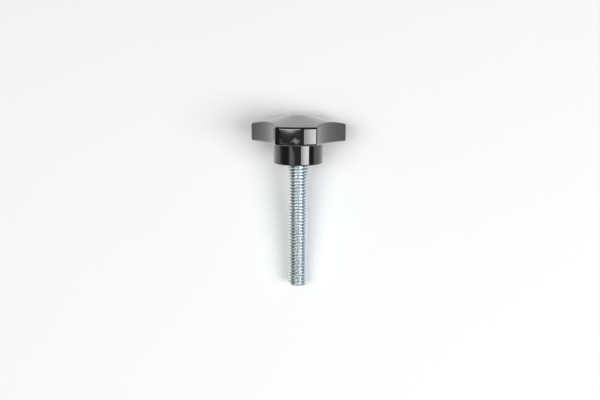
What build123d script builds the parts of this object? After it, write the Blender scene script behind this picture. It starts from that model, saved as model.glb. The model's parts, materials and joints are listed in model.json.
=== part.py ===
from build123d import *
import math
import os

# Three-lobed clamping knob moulded round a threaded steel stud, lying on two lobes and the stud's tip.
# Lengths are in millimetres. +Y runs from the stud's tip towards the head and +Z is up. The origin is on
# the surface that the knob lies on, under the middle of its outline.
# Each piece is first made upright: Z is the knob's axis, and the hub's end face is at Z = 0.

# Head, seen along the axis
head_diameter = 38.0
lobe_width = 15.9
valley_radius = 14.0
lobe_corner_radius = 0.9
lobe_directions = (270.0, 30.0, 150.0)

# Head, seen from the side
hub_diameter = 19.6
hub_length = 8.6
hub_edge_chamfer = 0.45
lobe_thickness = 7.0
crown_angle = 13.0
crown_tip_radius = 20.0
rim_radius = 0.65

# Stud
stud_diameter = 8.0
stud_reach = 50.0
thread_pitch = 1.25
depth_per_pitch = 0.6134
pitch_drop_per_pitch = 0.6495
anchor_across_flats = 13.0
anchor_thickness = 5.3
anchor_depth = 5.8
mouth_clearance = 0.3

# Worked out from the sizes above
head_radius = head_diameter / 2
hub_radius = hub_diameter / 2
stud_radius = stud_diameter / 2
half_step = (lobe_directions[2] - lobe_directions[1]) / 2
seam_direction = lobe_directions[1] + half_step
end_half_angle = math.degrees(math.asin(lobe_width / 2 / head_radius))
valley_half_chord = head_radius * math.sin(math.radians(half_step - end_half_angle))
valley_chord_distance = head_radius * math.cos(math.radians(half_step - end_half_angle))
valley_depth = valley_chord_distance - valley_radius
valley_curve_radius = (valley_half_chord**2 + valley_depth**2) / (2 * valley_depth)
crown_slope = math.tan(math.radians(crown_angle))
lobe_top_height = hub_length + lobe_thickness
thread_depth = depth_per_pitch * thread_pitch
neck_radius = stud_radius - pitch_drop_per_pitch * thread_pitch / 2
mouth_radius = stud_radius + mouth_clearance
mouth_depth = mouth_radius - neck_radius


def polar(radius, degrees):
    """The point of a plan at a radius and a direction."""
    angle = math.radians(degrees)
    return (radius * math.cos(angle), radius * math.sin(angle))


def lobed_outline():
    """Three round ends, concentric with the axis, joined by shallow round valleys."""
    with BuildSketch() as plan:
        with BuildLine():
            for direction in lobe_directions:
                last_corner = polar(head_radius, direction + end_half_angle)
                next_corner = polar(head_radius, direction + 2 * half_step - end_half_angle)
                ThreePointArc(
                    polar(head_radius, direction - end_half_angle),
                    polar(head_radius, direction),
                    last_corner,
                )
                ThreePointArc(last_corner, polar(valley_radius, direction + half_step), next_corner)
        make_face()
        fillet(plan.vertices(), lobe_corner_radius)
    return plan.sketch


def crowned_disc():
    """A turned disc wider than the lobes, flat below: a shallow cone with a round tip above."""
    reach = head_radius + lobe_thickness
    angle = math.radians(crown_angle)
    tip_edge = crown_tip_radius * math.sin(angle)
    tip_edge_height = lobe_top_height + (head_radius - tip_edge) * crown_slope
    tip_height = tip_edge_height + crown_tip_radius * (1 - math.cos(angle))
    arc_middle = (
        crown_tip_radius * math.sin(angle / 2),
        tip_height - crown_tip_radius * (1 - math.cos(angle / 2)),
    )
    with BuildSketch(Plane.XZ) as profile:
        with BuildLine():
            ThreePointArc((0, tip_height), arc_middle, (tip_edge, tip_edge_height))
            Polyline(
                (tip_edge, tip_edge_height),
                (reach, lobe_top_height - (reach - head_radius) * crown_slope),
                (reach, hub_length),
                (0, hub_length),
                (0, tip_height),
            )
        make_face()
    return Rot(0, 0, seam_direction) * revolve(profile.sketch, Axis.Z)


def lobed_plate():
    """The lobes with the crown on top, and their two rims rounded."""
    plate = extrude(lobed_outline(), lobe_top_height + head_radius) & crowned_disc()
    rims = [
        edge
        for edge in plate.edges().filter_by(Axis.Z, reverse=True)
        if math.hypot(edge.position_at(0.5).X, edge.position_at(0.5).Y) > valley_radius - rim_radius
    ]
    return fillet(rims, rim_radius)


def hub():
    """The round hub below the lobes, its end edge bevelled."""
    post = Cylinder(hub_radius, hub_length + lobe_thickness / 2, align=(Align.CENTER, Align.CENTER, Align.MIN))
    end_edge = post.edges().filter_by(GeomType.CIRCLE).sort_by(Axis.Z)[0]
    return chamfer(end_edge, hub_edge_chamfer)


def threaded_stud():
    """
    A round stud with a chamfered tip below the hub. Inside the head its neck is as thin as the blank that
    the thread is rolled on, and carries a hexagonal anchor.
    """
    shank = Pos(0, 0, -stud_reach) * Cylinder(stud_radius, stud_reach, align=(Align.CENTER, Align.CENTER, Align.MIN))
    tip_edge = shank.edges().filter_by(GeomType.CIRCLE).sort_by(Axis.Z)[0]
    shank = chamfer(tip_edge, thread_depth)
    neck = Cylinder(neck_radius, anchor_depth, align=(Align.CENTER, Align.CENTER, Align.MIN))
    hexagon = RegularPolygon(anchor_across_flats / 2, 6, major_radius=False)
    anchor = extrude(Pos(0, 0, anchor_depth) * hexagon, anchor_thickness)
    return shank + neck + anchor


def lobed_head():
    """Lobes and hub in one moulding, closed round the stud's neck and anchor, with a bevelled mouth."""
    mouth = Cone(mouth_radius, neck_radius, mouth_depth, align=(Align.CENTER, Align.CENTER, Align.MIN))
    return lobed_plate() + hub() - threaded_stud() - mouth


def resting_tilt():
    """
    The axis's angle, in degrees, when two lobe corners and the stud's tip touch one flat surface.
    Each lobe corner touches it with the rounded rim round the corner's own centre; the stud touches it
    with the edge of its chamfer.
    """
    corner_reach = head_radius - lobe_corner_radius
    valley_centre = valley_radius + valley_curve_radius
    corner_to_valley = valley_curve_radius + lobe_corner_radius
    cosine = (corner_reach**2 + valley_centre**2 - corner_to_valley**2) / (2 * corner_reach * valley_centre)
    drop = corner_reach * cosine + lobe_corner_radius - rim_radius - stud_radius
    span = stud_reach - thread_depth + hub_length + rim_radius
    return math.degrees(math.atan2(drop, span) + math.asin(rim_radius / math.hypot(drop, span)))


def laid_down(pieces):
    """The pieces turned to lie on the surface, centred above the origin."""
    turn = Rot(resting_tilt() - 90, 0, 0)
    turned = [turn * piece for piece in pieces]
    box = turned[0].bounding_box()
    for piece in turned[1:]:
        box = box.add(piece.bounding_box())
    return [Pos(-box.center().X, -box.center().Y, -box.min.Z) * piece for piece in turned]


os.makedirs("parts", exist_ok=True)
names = ["lobed_head", "threaded_stud"]
for name, piece in zip(names, laid_down([lobed_head(), threaded_stud()])):
    export_step(piece, f"parts/{name}.step")
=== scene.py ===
import json
import math

import bpy
import numpy as np
from mathutils import Euler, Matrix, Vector


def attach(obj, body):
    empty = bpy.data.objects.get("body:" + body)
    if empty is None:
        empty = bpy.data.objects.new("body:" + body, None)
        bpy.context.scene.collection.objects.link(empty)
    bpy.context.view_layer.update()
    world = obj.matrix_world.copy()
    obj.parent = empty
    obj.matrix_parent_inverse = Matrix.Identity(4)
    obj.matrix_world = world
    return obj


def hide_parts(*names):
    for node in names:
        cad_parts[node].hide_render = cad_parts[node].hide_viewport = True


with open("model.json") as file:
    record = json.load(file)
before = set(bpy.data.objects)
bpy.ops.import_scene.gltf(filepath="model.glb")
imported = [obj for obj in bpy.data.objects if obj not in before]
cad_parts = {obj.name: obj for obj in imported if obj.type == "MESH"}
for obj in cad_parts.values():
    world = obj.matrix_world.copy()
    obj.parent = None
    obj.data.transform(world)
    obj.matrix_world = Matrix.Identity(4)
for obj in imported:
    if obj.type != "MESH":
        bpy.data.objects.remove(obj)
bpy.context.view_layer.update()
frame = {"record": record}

# Three-lobed clamping knob: a glossy black moulded head on a zinc-plated stud, lying on a pale floor.
# Lengths are in metres unless a name says otherwise. The knob's axis and the stud's sizes come from the
# frame. Along the axis, height 0 is the hub's end face and heights grow towards the crown.
MM = 0.001

# Head
HEAD_RADIUS = 19.0 * MM
LOBE_WIDTH = 15.9 * MM
VALLEY_RADIUS = 14.0 * MM
LOBE_CORNER_RADIUS = 1.1 * MM
HUB_RADIUS = 9.8 * MM
HUB_LENGTH = 8.6 * MM
HUB_EDGE_RADIUS = 0.45 * MM
LOBE_THICKNESS = 7.0 * MM
CROWN_ANGLE = math.radians(13.0)
CROWN_TIP_RADIUS = 20.0 * MM
RIM_RADIUS = 0.9 * MM
MOUTH_CLEARANCE = 0.3 * MM
LOBE_DIRECTIONS = np.radians([270.0, 30.0, 150.0])
HALF_STEP = math.radians(60.0)

# A pale, rough mark on the upper lobe's end, between the underside and the middle
PALE_MARK_HEIGHT = 10.6 * MM
PALE_MARK_REACH = 2.3 * MM

# Stud
THREAD_PITCH = 1.25 * MM
THREAD_DEPTH = 0.6134 * THREAD_PITCH
CREST_FLAT = THREAD_PITCH / 8
CREST_EDGE_RADIUS = 0.03 * MM
FLANK_ANGLE = math.radians(30.0)
ROOT_RADIUS = 0.144 * THREAD_PITCH
NECK_DROP = 0.6495 * THREAD_PITCH / 2
ANCHOR_APOTHEM = 6.5 * MM
ANCHOR_DEPTH = 5.8 * MM
ANCHOR_THICKNESS = 5.3 * MM

# How finely the surfaces are divided
END_STEPS = 30
CORNER_STEPS = 10
VALLEY_STEPS = 64
CROWN_ROWS = 48
RIM_ROWS = 10
WALL_ROWS = 12
UNDERSIDE_ROWS = 14
HUB_EDGE_ROWS = 8
HUB_FACE_ROWS = 8
HOLLOW_ROWS = 4
STUD_COLUMNS = 96
TURNS_ABOVE_HUB = 2
TURNS_PAST_TIP = 3

# Camera: a 45 mm lens on a 36 mm sensor, above the knob and a little to its right
CAMERA_LENS_MM = 45.0
CAMERA_SENSOR_MM = 36.0
CAMERA_FROM_HUB = Vector((14.66 * MM, -18.33 * MM))
CAMERA_HEIGHT = 312.4 * MM
CAMERA_TURN = Euler((math.radians(0.703), math.radians(2.619), math.radians(0.753)))


def knob_axis():
    """From the frame's stud mount: the hub's end centre, the direction to the crown, radius and length."""
    mount = next(m for m in frame["record"]["mounts"] if m["name"] == "stud")
    direction = -Vector(mount["axis"]).normalized()
    length = mount["dims"]["length_mm"] * MM
    return Vector(mount["pos_m"]) + direction * length / 2, direction, mount["dims"]["r_mm"] * MM, length


HUB_END, AXIS, STUD_RADIUS, THREAD_LENGTH = knob_axis()
STUD_REACH = THREAD_LENGTH + THREAD_DEPTH
NECK_RADIUS = STUD_RADIUS - NECK_DROP
MOUTH_RADIUS = STUD_RADIUS + MOUTH_CLEARANCE
SIDEWAYS = Vector((1.0, 0.0, 0.0))
DOWNWARDS = AXIS.cross(SIDEWAYS)
UPRIGHT_TO_FRAME = np.array([SIDEWAYS, DOWNWARDS, AXIS])
PALE_MARK = HUB_END - HEAD_RADIUS * DOWNWARDS + PALE_MARK_HEIGHT * AXIS


def lay_down(points):
    """Points given sideways, downwards and along the axis, moved to where the knob lies in the frame."""
    return np.asarray(points) @ UPRIGHT_TO_FRAME + np.array(HUB_END)


# The camera comes first

def add_camera():
    """Looks down on the knob from the photograph's place."""
    data = bpy.data.cameras.new("camera")
    data.lens = CAMERA_LENS_MM
    data.sensor_width = CAMERA_SENSOR_MM
    camera = bpy.data.objects.new("camera", data)
    camera.location = (HUB_END.x + CAMERA_FROM_HUB.x, HUB_END.y + CAMERA_FROM_HUB.y, CAMERA_HEIGHT)
    camera.rotation_euler = CAMERA_TURN
    bpy.context.collection.objects.link(camera)
    bpy.context.scene.camera = camera


add_camera()


# Meshes

def make_piece(name, vertices, faces):
    """One smooth-shaded object at the origin, its place in its vertices."""
    mesh = bpy.data.meshes.new(name)
    mesh.from_pydata(vertices.tolist(), [], faces)
    mesh.polygons.foreach_set("use_smooth", np.ones(len(faces), bool))
    mesh.update()
    piece = bpy.data.objects.new(name, mesh)
    bpy.context.collection.objects.link(piece)
    return piece


def cells_of(index):
    """The four-cornered faces between the neighbouring rows and columns of a grid of vertex numbers."""
    cells = np.stack([index[:-1, :-1], index[1:, :-1], index[1:, 1:], index[:-1, 1:]], axis=2)
    return cells.reshape(-1, 4).tolist()


def arc(centre, radius, first, last, steps, hollow=False):
    """
    Points and outward normals of an arc without its last point: the centre plus the radius times the
    direction, which turns evenly from the first angle to the last. A hollow arc's normals point inwards.
    """
    turn = first + (last - first) * np.arange(steps) / steps
    direction = np.stack([np.cos(turn), np.sin(turn)], axis=1)
    return np.asarray(centre) + radius * direction, -direction if hollow else direction


def polar(radius, angle):
    """The plan point at a radius and an angle."""
    return np.array([radius * math.cos(angle), radius * math.sin(angle)])


def lobed_outline():
    """
    The closed curve round the three lobes, seen along the axis, and its outward normals. Each third is
    an end arc about the axis, a corner arc about its own centre, a hollow valley arc about a centre
    outside the head, and a second corner arc. The valley's radius is the half chord squared plus the
    depth squared over twice the depth, and the law of cosines gives the corner centre's direction.
    """
    half_chord = HEAD_RADIUS * math.sin(HALF_STEP - math.asin(LOBE_WIDTH / 2 / HEAD_RADIUS))
    depth = HEAD_RADIUS * math.cos(HALF_STEP - math.asin(LOBE_WIDTH / 2 / HEAD_RADIUS)) - VALLEY_RADIUS
    valley_curve = (half_chord**2 + depth**2) / (2 * depth)
    valley_reach = VALLEY_RADIUS + valley_curve
    corner_reach = HEAD_RADIUS - LOBE_CORNER_RADIUS
    span = valley_curve + LOBE_CORNER_RADIUS
    between = math.acos((corner_reach**2 + valley_reach**2 - span**2) / (2 * corner_reach * valley_reach))
    end_half = HALF_STEP - between
    arcs = []
    for lobe in LOBE_DIRECTIONS:
        valley = lobe + HALF_STEP
        valley_centre = polar(valley_reach, valley)
        first_corner = polar(corner_reach, lobe + end_half)
        next_corner = polar(corner_reach, valley + between)
        tangent = math.atan2(*(valley_centre - first_corner)[::-1])
        tangent = lobe + end_half + (tangent - lobe - end_half) % (2 * math.pi)
        mirrored = 2 * valley - tangent
        arcs.append(arc((0, 0), HEAD_RADIUS, lobe - end_half, lobe + end_half, END_STEPS))
        arcs.append(arc(first_corner, LOBE_CORNER_RADIUS, lobe + end_half, tangent, CORNER_STEPS))
        arcs.append(
            arc(valley_centre, valley_curve, tangent + math.pi, mirrored + math.pi, VALLEY_STEPS, hollow=True)
        )
        arcs.append(arc(next_corner, LOBE_CORNER_RADIUS, mirrored, valley + between, CORNER_STEPS))
    return np.concatenate([a[0] for a in arcs]), np.concatenate([a[1] for a in arcs])


def crown_height(radius):
    """A cone that falls from its round tip to the lobes' top height at the head's full radius."""
    slope = math.tan(CROWN_ANGLE)
    tip_edge = CROWN_TIP_RADIUS * math.sin(CROWN_ANGLE)
    top = HUB_LENGTH + LOBE_THICKNESS
    tip = top + (HEAD_RADIUS - tip_edge) * slope + CROWN_TIP_RADIUS * (1 - math.cos(CROWN_ANGLE))
    ball = tip - CROWN_TIP_RADIUS + np.sqrt(np.maximum(CROWN_TIP_RADIUS**2 - radius**2, 0))
    return np.where(radius < tip_edge, ball, top + (HEAD_RADIUS - radius) * slope)


def eased(count):
    """Steps from 0 to 1, without the 0, that lie closer together near both ends."""
    return (1 - np.cos(np.pi * np.arange(1, count + 1) / count)) / 2


def rim_turn(first, last, count):
    """Directions that turn evenly from the first to the last along the shortest way, without the first."""
    angle = np.arccos(np.clip(np.sum(first * last, axis=1), -1, 1))[:, None]
    steps = np.arange(1, count + 1) / count
    return [(np.sin((1 - t) * angle) * first + np.sin(t * angle) * last) / np.sin(angle) for t in steps]


def hexagon_radius(angle):
    """A hexagon's reach at an angle: its apothem over the cosine of the angle from the nearest flat."""
    return ANCHOR_APOTHEM / np.cos((angle % (np.pi / 3)) - np.pi / 6)


def head_rows():
    """
    Rows of points round the outline: from the crown's tip along rays to the upper rim, round the rim on
    a ball that touches crown and wall, down the wall, round the lower rim, across the flat underside to
    the hub, down the hub and round its end edge, in over the end face to the bevelled mouth, and up the
    neck's hole into the hexagonal hollow that holds the stud's anchor.
    """
    outline, normals = lobed_outline()
    level = np.zeros((len(outline), 1))
    out = np.hstack([normals, level])
    ball = outline - RIM_RADIUS * normals
    reach = np.linalg.norm(ball, axis=1)
    ray = ball / reach[:, None]
    crown_normal = np.hstack([ray * math.sin(CROWN_ANGLE), level + math.cos(CROWN_ANGLE)])
    upper = np.hstack([ball, (crown_height(reach) - RIM_RADIUS / math.cos(CROWN_ANGLE))[:, None]])
    lower = np.hstack([ball, level + HUB_LENGTH + RIM_RADIUS])
    down = np.array([[0.0, 0.0, -1.0]]) + 0 * out

    def ring(radius, height, direction=ray):
        return np.hstack([direction * np.reshape(radius, (-1, 1)), level + height])

    crown_edge = (upper + RIM_RADIUS * crown_normal)[:, :2]
    rows = []
    for step in eased(CROWN_ROWS):
        plan = crown_edge * step
        rows.append(np.hstack([plan, crown_height(np.linalg.norm(plan, axis=1))[:, None]]))
    rows += [upper + RIM_RADIUS * turn for turn in rim_turn(crown_normal, out, RIM_ROWS)]
    wall_top, wall_foot = rows[-1], lower + RIM_RADIUS * out
    rows += [wall_top + (wall_foot - wall_top) * step for step in eased(WALL_ROWS)]
    rows += [lower + RIM_RADIUS * turn for turn in rim_turn(out, down, RIM_ROWS)]
    rows += [ring(reach + (HUB_RADIUS - reach) * step, HUB_LENGTH) for step in eased(UNDERSIDE_ROWS)]
    hub_wall = HUB_EDGE_RADIUS - HUB_LENGTH
    rows += [ring(HUB_RADIUS, HUB_LENGTH + hub_wall * step) for step in eased(WALL_ROWS)]
    for turn in np.linspace(0, np.pi / 2, HUB_EDGE_ROWS + 1)[1:]:
        inset = HUB_EDGE_RADIUS * (1 - math.cos(turn))
        rows.append(ring(HUB_RADIUS - inset, HUB_EDGE_RADIUS * (1 - math.sin(turn))))
    face = HUB_RADIUS - HUB_EDGE_RADIUS
    rows += [ring(face + (MOUTH_RADIUS - face) * step, 0) for step in eased(HUB_FACE_ROWS)]
    mouth = MOUTH_RADIUS - NECK_RADIUS
    rows += [ring(MOUTH_RADIUS - mouth * step, mouth * step) for step in eased(HOLLOW_ROWS)]
    angle = np.arctan2(ray[:, 1], ray[:, 0])
    for corner in np.pi / 3 * np.arange(-3, 3):
        gap = (angle - corner + np.pi) % (2 * np.pi) - np.pi
        angle[np.abs(gap).argmin()] = corner
    around = np.stack([np.cos(angle), np.sin(angle)], axis=1)
    hexagon = hexagon_radius(angle)
    ledge = hexagon - NECK_RADIUS
    roof = ANCHOR_DEPTH + ANCHOR_THICKNESS
    steps = eased(HOLLOW_ROWS)
    rows += [ring(NECK_RADIUS, mouth + (ANCHOR_DEPTH - mouth) * step, around) for step in steps]
    rows += [ring(NECK_RADIUS + ledge * step, ANCHOR_DEPTH, around) for step in steps]
    rows += [ring(hexagon, ANCHOR_DEPTH + ANCHOR_THICKNESS * step, around) for step in steps]
    rows += [ring(hexagon * (1 - step), roof, around) for step in eased(HOLLOW_ROWS + 1)[:-1]]
    return np.array(rows)


def closed_surface(name, rows, first_pole, last_pole):
    """A grid that closes on itself round each row, with a fan of triangles to a pole at either end."""
    count, columns, _ = rows.shape
    grid = 1 + np.arange(count * columns).reshape(count, columns)
    grid = np.hstack([grid, grid[:, :1]])
    first, last = grid[0], grid[-1]
    pole = 0 * first[1:]
    fans = np.stack([pole, first[:-1], first[1:]], axis=1).tolist()
    fans += np.stack([pole + 1 + count * columns, last[1:], last[:-1]], axis=1).tolist()
    vertices = np.concatenate([[first_pole], rows.reshape(-1, 3), [last_pole]])
    return make_piece(name, lay_down(vertices), cells_of(grid) + fans)


def add_head():
    """The moulded head: three lobes, crown and hub in one closed skin."""
    tip = (0, 0, float(crown_height(np.array(0.0))))
    roof = (0, 0, ANCHOR_DEPTH + ANCHOR_THICKNESS)
    return closed_surface("knob_head", head_rows(), tip, roof)


def thread_profile():
    """
    One turn's profile, as axial places from a crest's middle and depths below the crest: a narrow flat
    crest with its edges rounded, straight flanks, and a root arc that both flanks touch.
    """
    slope = 1 / math.tan(FLANK_ANGLE)
    half = THREAD_PITCH / 2
    flat = CREST_FLAT / 2 - CREST_EDGE_RADIUS * math.tan((math.pi / 2 - FLANK_ANGLE) / 2)
    edge = np.linspace(0, math.pi / 2 - FLANK_ANGLE, 4)
    places = [0.0]
    depths = [0.0]
    places += list(flat + CREST_EDGE_RADIUS * np.sin(edge))
    depths += list(CREST_EDGE_RADIUS * (1 - np.cos(edge)))
    root = np.linspace(math.pi / 2 - FLANK_ANGLE, 0, 5)
    root_places = half - ROOT_RADIUS * np.sin(root)
    root_depths = THREAD_DEPTH - ROOT_RADIUS * (1 - np.cos(root))
    middle = (places[-1] + root_places[0]) / 2
    places += [middle] + list(root_places)
    depths += [depths[-1] + (middle - places[-2]) * slope] + list(root_depths)
    places, depths = np.array(places), np.array(depths)
    return np.concatenate([places, 2 * half - places[-2:0:-1]]), np.concatenate([depths, depths[-2:0:-1]])


def add_stud():
    """
    The stud with its right-hand thread. Its columns go clockwise, seen from the crown, and its rows lie on
    the helix: a row's distance below the hub is the pitch times its whole turns, plus its place in the
    profile, plus the pitch times the column's share of a turn. The last column therefore joins the
    first one a turn further down, and the thread rises as it goes anticlockwise. Above the hub the rows
    fold on to the shoulder and the neck, and past the tip they fold on to the end face.
    """
    places, depths = thread_profile()
    per_turn = len(places)
    turns = TURNS_ABOVE_HUB + math.ceil(STUD_REACH / THREAD_PITCH) + TURNS_PAST_TIP
    row = np.arange(per_turn * turns)
    below = THREAD_PITCH * (row // per_turn - TURNS_ABOVE_HUB) + places[row % per_turn]
    share = np.arange(STUD_COLUMNS) / STUD_COLUMNS
    below = below[:, None] + THREAD_PITCH * share[None, :]
    crest_limit = STUD_RADIUS - np.maximum(below - THREAD_LENGTH, 0)
    radius = np.minimum((STUD_RADIUS - depths[row % per_turn])[:, None], crest_limit)
    end_radius = STUD_RADIUS - THREAD_DEPTH
    shoulder = np.clip(-below / THREAD_PITCH, 0, 1)
    radius = radius + (NECK_RADIUS - radius) * shoulder
    past = np.maximum(below - STUD_REACH, 0)
    radius = np.where(past > 0, end_radius / (1 + past / THREAD_PITCH), radius)
    neck_rise = np.maximum(-below / THREAD_PITCH - 1, 0) * ANCHOR_DEPTH / 2
    height = np.where(below < 0, neck_rise, -np.minimum(below, STUD_REACH))
    turn = -2 * np.pi * share
    grid = np.stack([radius * np.cos(turn), radius * np.sin(turn), height], axis=2)

    rows, columns = radius.shape
    index = np.arange(rows * columns).reshape(rows, columns)
    beside = np.hstack([index[:-per_turn], index[per_turn:, :1]])
    tail = index[-per_turn - 1:]
    vertices = grid.reshape(-1, 3)
    centre = len(vertices)
    bottom = index[-1]
    end_fan = np.stack([0 * bottom[1:] + centre, bottom[:-1], bottom[1:]], axis=1)
    end_seam = np.concatenate([tail[::-1, -1], [bottom[0], centre]])
    faces = cells_of(beside[:, ::-1]) + cells_of(tail[:, ::-1]) + end_fan.tolist() + [end_seam.tolist()]
    vertices = np.vstack([vertices, [[0, 0, -STUD_REACH]]])
    anchor_faces, anchor = add_anchor(len(vertices), index[0], index[:per_turn + 1, 0], turn)
    vertices = np.vstack([vertices, anchor])
    piece = make_piece("knob_stud", lay_down(vertices), faces + anchor_faces)
    # How deep each point lies in the thread; the zinc finish uses it for roughness and for the painted shade
    # in the roots.
    across = np.hypot(vertices[:, 0], vertices[:, 1])
    sunk = np.clip((STUD_RADIUS - across) / THREAD_DEPTH, 0, 1)
    piece.data.attributes.new("sunk", "FLOAT", "POINT").data.foreach_set("value", sunk.astype(np.float32))
    return piece


def add_anchor(start, top, seam, turn):
    """
    Closes the stud's upper end: a ring round the neck under the anchor, then the hexagon's ledge, its
    walls, and its top, which meets in a pole on the axis. Gives the faces and the new vertices, whose
    numbers begin at the start; the top is the thread's first row and the seam its first column's turn.
    """
    around = np.stack([np.cos(turn), np.sin(turn)], axis=1)
    hexagon = around * hexagon_radius(turn)[:, None]
    level = np.zeros((len(turn), 1))
    low, high = ANCHOR_DEPTH, ANCHOR_DEPTH + ANCHOR_THICKNESS
    rings = [np.hstack([around * NECK_RADIUS, level + low]), np.hstack([hexagon, level + low])]
    rings += [np.hstack([hexagon, level + high]), [[0, 0, high]]]
    ring = start + np.arange(3 * len(turn)).reshape(3, len(turn))
    closed = np.hstack([ring, ring[:, :1]])
    pole = start + ring.size
    neck_seam = np.concatenate([[ring[0, 0]], seam, [top[-1], ring[0, -1]]])
    roof = np.stack([closed[2, 1:], closed[2, :-1], 0 * ring[2] + pole], axis=1)
    faces = cells_of(np.stack([ring[0], top])[:, ::-1]) + [neck_seam.tolist()]
    return faces + cells_of(closed[::-1, ::-1]) + roof.tolist(), np.vstack(rings)


# Finishes

class Socket:
    """The output of a shader node. Arithmetic on it adds Math nodes to the same finish."""

    def __init__(self, finish, output):
        self.finish = finish
        self.output = output

    def worked(self, operation, first, second):
        """One Math node on two values or sockets."""
        return self.finish.node("ShaderNodeMath", {"operation": operation}, {0: first, 1: second})

    def __add__(self, other):
        return self.worked("ADD", self, other)

    def __sub__(self, other):
        return self.worked("SUBTRACT", self, other)

    def __mul__(self, other):
        return self.worked("MULTIPLY", self, other)

    __radd__ = __add__
    __rmul__ = __mul__

    def __rsub__(self, other):
        return self.worked("SUBTRACT", other, self)


class Finish:
    """A material whose nodes are added one by one round its own shader."""

    def __init__(self, name):
        self.material = bpy.data.materials.new(name)
        self.material.use_nodes = True
        self.tree = self.material.node_tree
        self.shader = self.tree.nodes["Principled BSDF"]

    def node(self, kind, settings=None, inputs=None, output=0):
        """Adds a node: its settings first, then each socket's value or link."""
        made = self.tree.nodes.new(kind)
        for key, value in (settings or {}).items():
            setattr(made, key, value)
        for key, value in (inputs or {}).items():
            self.feed(made.inputs[key], value)
        return Socket(self, made.outputs[output])

    def feed(self, entry, value):
        """Links a socket to an entry, or sets the entry's own value."""
        if isinstance(value, Socket):
            self.tree.links.new(value.output, entry)
        else:
            entry.default_value = value

    def surface(self, **values):
        """Sets or links the shader's own sockets; underscores stand for the spaces in their names."""
        for key, value in values.items():
            self.feed(self.shader.inputs[key.replace("_", " ")], value)

    def place(self):
        """Where a point lies on the object."""
        return self.node("ShaderNodeTexCoord", output="Object")

    def near(self, centre, reach):
        """1 at a place on the object, falling evenly with the distance to 0 at the reach."""
        inputs = {"Vector": self.place(), "Location": -Vector(centre) / reach, "Scale": [1 / reach] * 3}
        away = self.node("ShaderNodeMapping", None, inputs)
        return 1 - self.node("ShaderNodeVectorMath", {"operation": "LENGTH"}, {0: away}, output="Value")

    def noise(self, vector, scale, detail=2.0, roughness=0.5):
        """Soft random clouds from 0 to 1; the scale is in clouds to the metre."""
        inputs = {"Vector": vector, "Scale": scale, "Detail": detail, "Roughness": roughness}
        return self.node("ShaderNodeTexNoise", None, inputs)

    def stepped(self, value, low, high):
        """0 up to the low value and 1 from the high one on, with a smooth rise between them."""
        inputs = {"Value": value, 1: low, 2: high}
        return self.node("ShaderNodeMapRange", {"interpolation_type": "SMOOTHSTEP"}, inputs)

    def blended(self, share, first, second):
        """One colour mixed into another by a share."""
        return self.node("ShaderNodeMix", {"data_type": "RGBA"}, {0: share, 6: first, 7: second}, output=2)


def black_moulding():
    """Glossy black moulded plastic: faint moulding ripple, hair scratches, a little dust and one pale, rough
    mark of lighter grey.
    """
    finish = Finish("black_moulding")
    place = finish.place()
    ripple = finish.noise(place, 900.0, 2.0)
    cloud = finish.noise(place, 140.0, 3.0)
    drawn = {"Vector": place, "Rotation": (0.3, 0.5, 0.9), "Scale": (1, 14, 1)}
    stretched = finish.node("ShaderNodeMapping", None, drawn)
    hairs = finish.stepped(finish.noise(stretched, 420.0, 4.0, 0.7), 0.62, 0.72)
    dust = finish.stepped(finish.noise(place, 2600.0, 1.0), 0.74, 0.80)
    # One pale mark on the upper lobe's end: there the colour turns lighter grey and the gloss duller.
    ragged = finish.near(PALE_MARK, PALE_MARK_REACH) + finish.noise(place, 1100.0, 4.0, 0.7) * 1.6
    pale_mark = finish.stepped(ragged, 1.16, 1.62)
    roughness = 0.03 + cloud * 0.03 + hairs * 0.05 + dust * 0.25 + pale_mark * 0.35
    black = (0.0075, 0.0075, 0.0080, 1)
    grey = (0.09, 0.095, 0.10, 1)
    colour = finish.blended(dust * 0.2 + hairs * 0.02 + pale_mark * 0.9, black, grey)
    rise = {"Strength": 0.12, "Distance": 0.02 * MM, "Height": ripple + cloud * 2}
    finish.surface(Base_Color=colour, Roughness=roughness, Normal=finish.node("ShaderNodeBump", None, rise))
    finish.surface(IOR=1.5, Coat_Weight=0.8, Coat_Roughness=0.03, Coat_IOR=1.5)
    return finish.material


def bright_zinc():
    """
    Bright zinc plate: a bluish white metal with fine drawn marks. Its faint green on one side and blue on the
    other is partly the plate's own passivation tint and partly painted reflection, and its darker thread
    roots are painted shade.
    """
    finish = Finish("bright_zinc")
    place = finish.place()
    cloud = finish.noise(place, 260.0, 3.0)
    grain = finish.noise(place, 3000.0, 3.0)
    sunk = finish.node("ShaderNodeAttribute", {"attribute_name": "sunk"}, output="Fac")
    across = finish.node("ShaderNodeSeparateXYZ", None, {"Vector": place}, output="X")
    plain = (0.95, 0.97, 0.975, 1)
    blue = (0.66, 0.84, 0.97, 1)
    green = (0.80, 0.93, 0.84, 1)
    # Dark root colour: painted shade for the thread's hollows.
    root = (0.10, 0.13, 0.15, 1)
    # Partly the plate's own faint passivation tint and partly painted reflection: green towards one side,
    # blue towards the other.
    plate_tint_and_reflection = finish.blended(finish.stepped(across + cloud * 3 * MM, -1.6 * MM, 3.2 * MM), green, blue)
    bright = finish.blended(0.25 + cloud * 0.35, plain, plate_tint_and_reflection)
    # Painted shade: the deeper a point lies in the thread, the more of the dark root colour it takes.
    colour = finish.blended(finish.stepped(sunk, 0.58, 1.05), bright, root)
    roughness = 0.23 + grain * 0.06 + sunk * 0.06
    drawn = {"Strength": 0.05, "Distance": 0.01 * MM, "Height": grain}
    finish.surface(Base_Color=colour, Roughness=roughness, Normal=finish.node("ShaderNodeBump", None, drawn))
    finish.surface(Metallic=1.0)
    return finish.material


def pale_floor():
    """A matt white floor with a barely visible cloud in it."""
    finish = Finish("pale_floor")
    cloud = finish.noise(finish.place(), 6.0, 2.0)
    colour = finish.blended(cloud, (0.845, 0.85, 0.855, 1), (0.865, 0.87, 0.875, 1))
    finish.surface(Base_Color=colour, Roughness=0.7)
    finish.surface(Specular_IOR_Level=0.2)
    return finish.material


# Stage and light

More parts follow.
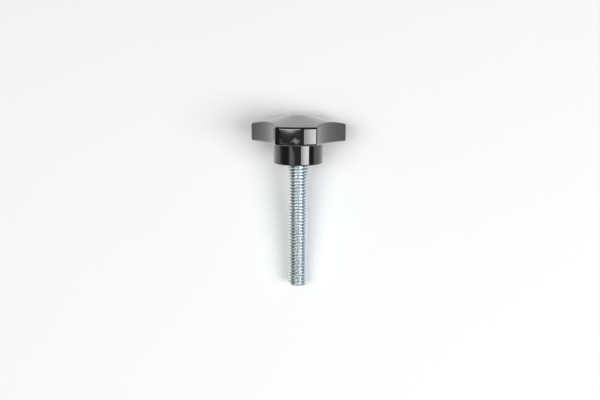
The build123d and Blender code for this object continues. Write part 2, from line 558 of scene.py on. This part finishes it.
FLOOR_MIDDLE_REACH = 0.3
FLOOR_FLAT_REACH = 1.2
FLOOR_EDGE_REACH = 2.4
FLOOR_EDGE_CURVE = 1.4
FLOOR_EDGE_ROWS = 12
FLOOR_COLUMNS = 96
WORLD_AT_HORIZON = 0.05
WORLD_OVERHEAD = 0.20
WORLD_TURN = 0.6
PANEL_HEIGHT = 1.0
PANEL_STRIPS = 7
SIDE_ACROSS = (0.30, 1.42)
SIDE_ALONG = (-0.57, -0.01)
FRONT_ACROSS = (-0.92, -0.20)
FRONT_ALONG = (-0.66, -0.302)
BACK_PLACE = (-0.39, -0.064)
BACK_SIZE = (1.02, 0.398)
BACK_TURN = math.radians(1.7)


def add_floor():
    """
    The pale floor that the knob lies on. Its height is 0 out to the flat part's reach, and beyond it
    the square of the distance past that reach over twice the curve's radius, so that its far edge
    rises behind the knob in a low view.
    """
    edge = np.linspace(FLOOR_FLAT_REACH, FLOOR_EDGE_REACH, FLOOR_EDGE_ROWS)
    reach = np.concatenate([[FLOOR_MIDDLE_REACH], edge])[:, None]
    turn = 2 * np.pi * np.arange(FLOOR_COLUMNS) / FLOOR_COLUMNS
    height = np.maximum(reach - FLOOR_FLAT_REACH, 0) ** 2 / (2 * FLOOR_EDGE_CURVE)
    rings = np.stack([reach * np.cos(turn), reach * np.sin(turn), height + 0 * turn], axis=2)
    grid = np.arange(rings[:, :, 0].size).reshape(len(reach), FLOOR_COLUMNS)
    faces = cells_of(np.hstack([grid, grid[:, :1]])) + [grid[0].tolist()]
    floor = make_piece("floor", rings.reshape(-1, 3), faces)
    floor.data.materials.append(pale_floor())


def add_panel(name, place, size, radiance, turn=0.0):
    """A rectangular lamp that faces down; its power is its radiance times pi times its area."""
    data = bpy.data.lights.new(name, "AREA")
    data.shape = "RECTANGLE"
    data.size, data.size_y = size
    data.energy = radiance * math.pi * size[0] * size[1]
    lamp = bpy.data.objects.new(name, data)
    lamp.location = (*place, PANEL_HEIGHT)
    lamp.rotation_euler.z = turn
    bpy.context.collection.objects.link(lamp)


def add_shaded_panel(name, across, along, first, last, bend):
    """
    A panel in strips side by side, each an even lamp. A strip's radiance is the first value plus the
    sine of the bend times its middle's share of the way across, times the last value less the first.
    """
    strip = (across[1] - across[0]) / PANEL_STRIPS
    for number in range(PANEL_STRIPS):
        radiance = first + (last - first) * math.sin(bend * (number + 0.5) / PANEL_STRIPS)
        place = (across[0] + strip * (number + 0.5), (along[0] + along[1]) / 2)
        add_panel(f"{name}_{number}", place, (strip, along[1] - along[0]), radiance)


def add_light():
    """An even pale surround, dim near the horizon, and the soft panels that the black gloss reflects."""
    world = bpy.data.worlds.new("surround")
    world.use_nodes = True
    tree = world.node_tree
    place = tree.nodes.new("ShaderNodeTexCoord")
    parts = tree.nodes.new("ShaderNodeSeparateXYZ")
    tree.links.new(place.outputs["Generated"], parts.inputs[0])
    fall = tree.nodes.new("ShaderNodeMapRange")
    fall.inputs["From Min"].default_value = WORLD_TURN
    fall.inputs["To Min"].default_value = WORLD_AT_HORIZON
    fall.inputs["To Max"].default_value = WORLD_OVERHEAD
    tree.links.new(parts.outputs["Z"], fall.inputs["Value"])
    tree.links.new(fall.outputs["Result"], tree.nodes["Background"].inputs["Strength"])
    tree.nodes["Background"].inputs["Color"].default_value = (1, 1, 1, 1)
    bpy.context.scene.world = world
    add_shaded_panel("side_panel", SIDE_ACROSS, SIDE_ALONG, first=3.6, last=9.0, bend=2.3)
    add_shaded_panel("front_panel", FRONT_ACROSS, FRONT_ALONG, first=0.1, last=1.3, bend=math.pi)
    add_panel("back_panel", BACK_PLACE, BACK_SIZE, radiance=5.7, turn=BACK_TURN)


head = add_head()
head.data.materials.append(black_moulding())
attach(head, "root")
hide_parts("lobed_head")

stud = add_stud()
stud.data.materials.append(bright_zinc())
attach(stud, "root")
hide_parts("threaded_stud")

add_floor()
add_light()
bpy.context.scene.view_settings.view_transform = "Standard"
